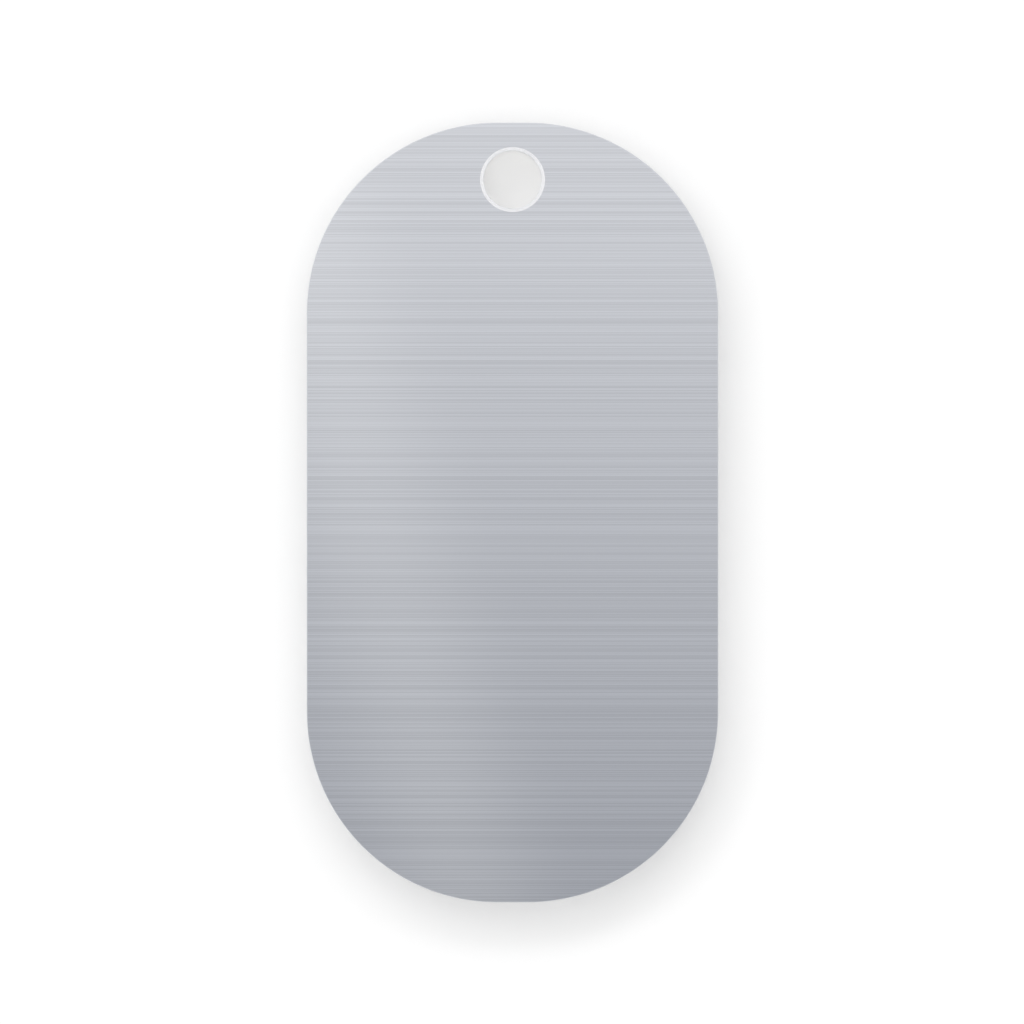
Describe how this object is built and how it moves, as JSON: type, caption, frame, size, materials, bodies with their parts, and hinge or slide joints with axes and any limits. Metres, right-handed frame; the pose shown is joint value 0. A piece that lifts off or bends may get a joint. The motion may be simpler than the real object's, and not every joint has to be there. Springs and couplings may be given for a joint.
{
  "type": "identification dog tag",
  "caption": "Blank flat metal identification tag with a rounded rectangular outline, a bevelled hanging hole near its top end and fine brushed lines across its face.",
  "frame": {"origin": "middle of the back face, which the tag rests on", "axes": "+Z out of the front face through the sheet, +Y along the tag's length towards the hanging hole, +X to the right seen from the front"},
  "size_m": [0.0268, 0.0508, 0.0015],
  "materials": {
    "brushed_sheet": "fine lines brushed across the width, tumbled edges, bright bevel round the hole"
  },
  "bodies": {
    "root": {"tag_plate": "brushed_sheet"}
  },
  "joints": []
}
